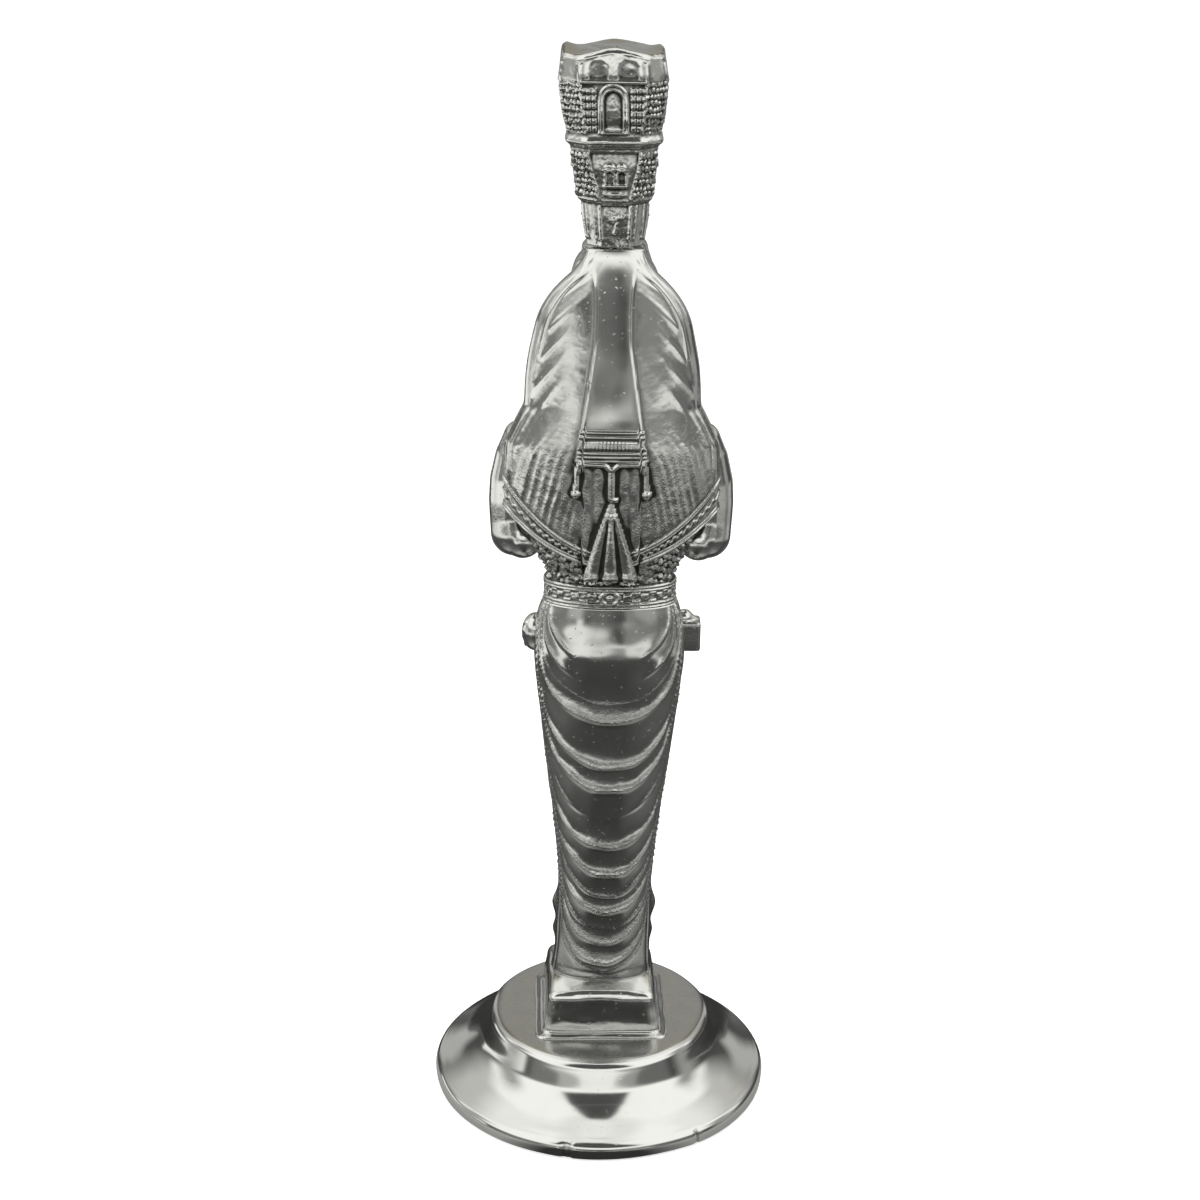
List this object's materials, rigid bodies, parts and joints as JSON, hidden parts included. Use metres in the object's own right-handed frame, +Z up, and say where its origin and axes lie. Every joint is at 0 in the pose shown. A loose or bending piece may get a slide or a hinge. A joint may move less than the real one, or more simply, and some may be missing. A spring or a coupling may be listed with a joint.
{
  "type": "robed figure statuette",
  "caption": "Cast metal statuette of a veiled, robed figure with a tall faceted crown and forearms held forward, on a square plinth and a round flared base.",
  "frame": {"origin": "middle of the underside of the felt pad, on the surface that the statuette stands on", "axes": "+Z up along the tie rod, the figure faces -Y, +X is the figure's left"},
  "size_m": [0.092, 0.092, 0.2822],
  "materials": {
    "cast_aluminium": "polished casting, dark in its recesses",
    "steel": "plain zinc-plated",
    "felt": "felt"
  },
  "bodies": {
    "root": {"base_pad": "felt", "round_base": "cast_aluminium", "square_plinth": "cast_aluminium", "skirt_casting": "cast_aluminium", "belt_band": "cast_aluminium", "torso_casting": "cast_aluminium", "veil_casting": "cast_aluminium", "head_casting": "cast_aluminium", "left_arm": "cast_aluminium", "right_arm": "cast_aluminium", "crown_casting": "cast_aluminium", "crown_cap": "cast_aluminium", "tie_rod": "steel", "rod_washer": "steel", "rod_nut": "steel", "plinth_dowels": "steel", "veil_dowels": "steel", "arm_dowels": "steel", "crown_screw": "steel"}
  },
  "joints": []
}
